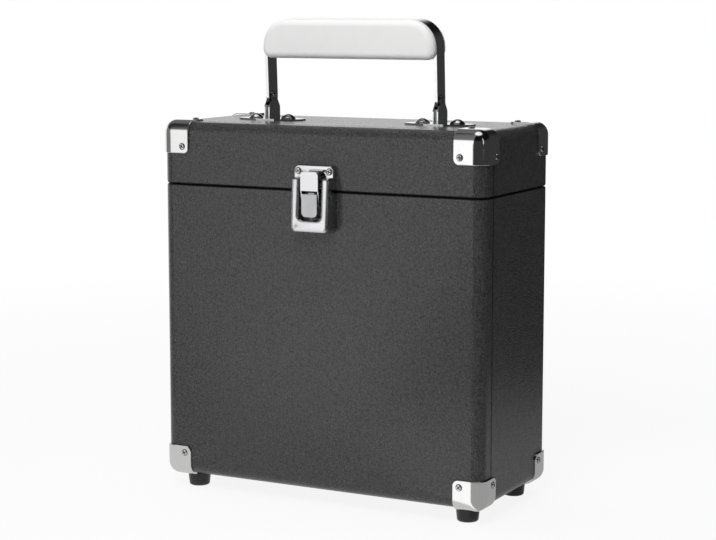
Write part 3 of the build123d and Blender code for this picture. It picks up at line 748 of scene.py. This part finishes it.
class MetalSettings(bpy.types.PropertyGroup):
    """The plated metal pieces."""
    nickel_colour: colour_setting("Nickel", "Colour of the corners and hinges", (0.74, 0.74, 0.735))
    nickel_roughness: FloatProperty(name="Nickel roughness", description="Dullness of the satin nickel",
                                    default=0.07, min=0, max=1, subtype="FACTOR")
    latch_colour: colour_setting("Latch", "Colour of the polished latch", (0.63, 0.63, 0.64))
    bar_colour: colour_setting("Handle bar", "Colour of the plated handle bar", (0.74, 0.74, 0.75))
    screw_colour: colour_setting("Screws", "Colour of the screws and rivets", (0.7, 0.7, 0.7))
    press_round: FloatProperty(name="Edge rounding", description="Rounding of the latch pressings' edges",
                               default=0.0004, min=0.00005, max=0.001, unit="LENGTH")
    frame_crown: FloatProperty(name="Frame crown", description="How far the latch frame's faces round off",
                               default=0.003, min=0, max=0.01, unit="LENGTH")
    small_head: FloatProperty(name="Screw head", description="Height of a small screw head", default=0.0012,
                              min=0.0002, max=0.005, unit="LENGTH")


class TrimSettings(bpy.types.PropertyGroup):
    """The grip and the feet."""
    grip_colour: colour_setting("Grip", "Colour of the moulded grip", (0.88, 0.88, 0.875))
    rubber_colour: colour_setting("Rubber", "Colour of the feet", (0.015, 0.015, 0.015))


class StudioSettings(bpy.types.PropertyGroup):
    """The floor, the room, the lights and the camera."""
    floor_colour: colour_setting("Floor", "Colour of the floor", (0.86, 0.86, 0.86))
    floor_lift: FloatProperty(name="Floor lift", description="How much whiter the camera sees the floor",
                              default=0.89, min=0, max=1, subtype="FACTOR")
    # painted shadow level of the floor beside the case, in the floor's glow as metal sees it
    floor_shade: FloatProperty(name="Floor shade", description="Brightness of the floor beside the case",
                               default=0.42, min=0, max=2)
    soft_light: FloatProperty(name="Soft light", description="Brightness of the light left of the camera",
                              default=1.3, min=0, max=4)
    left_wall: FloatProperty(name="Left wall", description="Brightness of the dim wall to the left",
                             default=0.22, min=0, max=2)
    # painted light level of the floor left of the case, in the floor's glow as metal sees it
    floor_left: FloatProperty(name="Floor left", description="Brightness of the floor left of the case",
                              default=0.72, min=0, max=2)
    overhead: FloatProperty(name="Overhead", description="Brightness of the soft light in the ceiling",
                            default=1.1, min=0, max=4)
    back_wall: FloatProperty(name="Back wall", description="Brightness of the wall behind and to the left",
                             default=1.08, min=0, max=2)
    dark_room: FloatProperty(name="Dark room", description="Brightness of the dim side of the room",
                             default=0.045, min=0, max=2)
    ceiling: FloatProperty(name="Ceiling", description="Brightness of the ceiling as a share of the walls'",
                           default=0.15, min=0, max=1, subtype="FACTOR")
    key_light: FloatProperty(name="Key light", description="Brightness of the large lamp before the case",
                             default=10.0, min=0, max=40)
    top_light: FloatProperty(name="Top light", description="Brightness of the lamp overhead",
                             default=2.0, min=0, max=20)
    strip_light: FloatProperty(name="Strip light", description="Brightness of the narrow right light",
                               default=2.0, min=0, max=20)
    place: FloatVectorProperty(name="Camera place", description="Where the camera stands",
                               default=(0.8793, -1.6604, 0.4874), subtype="TRANSLATION", unit="LENGTH")
    turn: FloatProperty(name="Camera turn", description="Turn to the left from straight at the back wall",
                        default=math.radians(27.7378), unit="ROTATION")
    pitch: FloatProperty(name="Camera pitch", description="Tilt downwards", default=math.radians(7.958),
                         unit="ROTATION")
    lens: FloatProperty(name="Lens", description="Focal length in millimetres on a 36 mm wide sensor",
                        default=95.744, min=10, max=400)


# ---------------------------------------------------------------- operators

class RECORDCASE_OT_covering(bpy.types.Operator):
    """Dress the box and lid in grained leatherette"""
    bl_idname = "recordcase.covering"
    bl_label = "Covering"

    def execute(self, context):
        dress(named(end="_covering"), leatherette(context.scene.case_covering))
        return {"FINISHED"}


class RECORDCASE_OT_inside(bpy.types.Operator):
    """Finish the boards and the lining"""
    bl_idname = "recordcase.inside"
    bl_label = "Boards and lining"

    def execute(self, context):
        settings = context.scene.case_inside
        dress(named(end="_panel"), fibre_board(settings))
        dress(named(end="_lining"), lining_paper(settings))
        return {"FINISHED"}


class RECORDCASE_OT_corners(bpy.types.Operator):
    """Finish the stamped corners and set their cross-head screws"""
    bl_idname = "recordcase.corners"
    bl_label = "Corners"

    def execute(self, context):
        settings = context.scene.case_metal
        corners = [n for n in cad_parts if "_corner_" in n and not n.endswith("screws")]
        dress(corners, brushed_nickel(settings))
        steel = plated_steel("screw_steel", settings.screw_colour, 0.22)
        # dark recess metal, which also paints the shadow ring round each screw head
        shade_darkening = dark_recess_and_shadow_ring(settings)
        cross_head_screws("body_corner_screws", "body", settings.small_head, steel, shade_darkening, 12)
        cross_head_screws("lid_corner_screws", "lid", settings.small_head, steel, shade_darkening, 31)
        return {"FINISHED"}


class RECORDCASE_OT_feet(bpy.types.Operator):
    """Finish the rubber feet and their screws"""
    bl_idname = "recordcase.feet"
    bl_label = "Feet"

    def execute(self, context):
        feet = [n for n in named("foot_") if n != "foot_screws"]
        dress(feet, foot_rubber(context.scene.case_trim))
        steel = plated_steel("foot_screw_steel", context.scene.case_metal.screw_colour, 0.25)
        dress(["foot_screws"], steel)
        return {"FINISHED"}


class RECORDCASE_OT_latch(bpy.types.Operator):
    """Polish the draw latch and set its screws"""
    bl_idname = "recordcase.latch"
    bl_label = "Latch"

    def execute(self, context):
        settings = context.scene.case_metal
        chrome = plated_steel("latch_chrome", settings.latch_colour, 0.07)
        satin = plated_steel("latch_satin", settings.latch_colour, 0.33)
        crowned = crowned_chrome(settings)
        softened("latch_frame", "body", crowned, settings.press_round, True)
        softened("latch_strike", "lid", chrome, settings.press_round, True)
        softened("latch_lever", "lever", satin, settings.press_round, False)
        softened("latch_catch", "catch", chrome, settings.press_round, False)
        steel = plated_steel("latch_pin_steel", settings.screw_colour, 0.16)
        dress(["latch_frame_rivets", "latch_lever_pin", "latch_catch_pin"], steel)
        # dark recess metal, which also paints the shadow ring round each screw head
        shade_darkening = dark_recess_and_shadow_ring(settings)
        cross_head_screws("latch_strike_screws", "lid", settings.small_head, steel, shade_darkening, 20)
        return {"FINISHED"}


class RECORDCASE_OT_handle(bpy.types.Operator):
    """Finish the handle bar, its grip and its brackets"""
    bl_idname = "recordcase.handle"
    bl_label = "Handle"

    def execute(self, context):
        settings = context.scene.case_metal
        bar = plated_steel("bar_steel", settings.bar_colour, 0.12)
        dress(["handle_bar"], bar)
        dress(["handle_bracket_left", "handle_bracket_right"], bar)
        dress(["handle_grip"], moulded_grip(context.scene.case_trim))
        steel = plated_steel("bracket_screw_steel", settings.screw_colour, 0.12)
        dress(["bracket_screws", "bracket_nuts", "handle_pivot_rivets"], steel)
        return {"FINISHED"}


class RECORDCASE_OT_hinges(bpy.types.Operator):
    """Finish the hinges and set their screws"""
    bl_idname = "recordcase.hinges"
    bl_label = "Hinges"

    def execute(self, context):
        settings = context.scene.case_metal
        leaves = [n for n in named("hinge_") if "_leaf_" in n]
        dress(leaves, brushed_nickel(settings))
        steel = plated_steel("hinge_pin_steel", settings.screw_colour, 0.2)
        dress(["hinge_pins"], steel)
        # dark recess metal, which also paints the shadow ring round each screw head
        shade_darkening = dark_recess_and_shadow_ring(settings)
        cross_head_screws("hinge_lid_screws", "lid", settings.small_head, steel, shade_darkening, 8)
        cross_head_screws("hinge_body_screws", "body", settings.small_head, steel, shade_darkening, 26)
        return {"FINISHED"}


class RECORDCASE_OT_stage(bpy.types.Operator):
    """Set up the floor, the room, the soft lights and the camera"""
    bl_idname = "recordcase.stage"
    bl_label = "Stage"

    def execute(self, context):
        settings = context.scene.case_studio
        studio_world(settings)
        pale_floor(settings)
        middle = (0, 0, 0.22)
        key_place, key_width = (0.32, -1.28, 1.45), 0.8
        top_place, top_width = (-0.3, 0.1, 2.1), 1.4
        softbox("key_light", key_place, middle, key_width, key_width, settings.key_light)
        softbox("top_light", top_place, middle, top_width, top_width, settings.top_light)
        photo_camera(settings)
        context.scene.view_settings.view_transform = "Standard"
        return {"FINISHED"}


class RECORDCASE_PT_sidebar(bpy.types.Panel):
    """The steps and settings of the case's looks"""
    bl_label = "Record case"
    bl_idname = "RECORDCASE_PT_sidebar"
    bl_space_type = "VIEW_3D"
    bl_region_type = "UI"
    bl_category = "Record case"

    def draw(self, context):
        for operator in operators:
            self.layout.operator(operator.bl_idname)
        for pointer in settings_groups:
            box = self.layout.box()
            settings = getattr(context.scene, pointer)
            for name in settings.__annotations__:
                box.prop(settings, name)


operators = (RECORDCASE_OT_covering, RECORDCASE_OT_inside, RECORDCASE_OT_corners, RECORDCASE_OT_feet,
             RECORDCASE_OT_latch, RECORDCASE_OT_handle, RECORDCASE_OT_hinges, RECORDCASE_OT_stage)
settings_groups = {"case_covering": CoveringSettings, "case_inside": InsideSettings,
                   "case_metal": MetalSettings, "case_trim": TrimSettings, "case_studio": StudioSettings}


def register():
    for group in settings_groups.values():
        bpy.utils.register_class(group)
    for pointer, group in settings_groups.items():
        setattr(bpy.types.Scene, pointer, PointerProperty(type=group))
    for operator in operators:
        bpy.utils.register_class(operator)
    bpy.utils.register_class(RECORDCASE_PT_sidebar)


def unregister():
    bpy.utils.unregister_class(RECORDCASE_PT_sidebar)
    for operator in reversed(operators):
        bpy.utils.unregister_class(operator)
    for pointer, group in settings_groups.items():
        delattr(bpy.types.Scene, pointer)
        bpy.utils.unregister_class(group)


def main():
    register()
    bpy.ops.recordcase.covering()
    bpy.ops.recordcase.inside()
    bpy.ops.recordcase.corners()
    bpy.ops.recordcase.feet()
    bpy.ops.recordcase.latch()
    bpy.ops.recordcase.handle()
    bpy.ops.recordcase.hinges()
    bpy.ops.recordcase.stage()


if __name__ == "__main__":
    main()
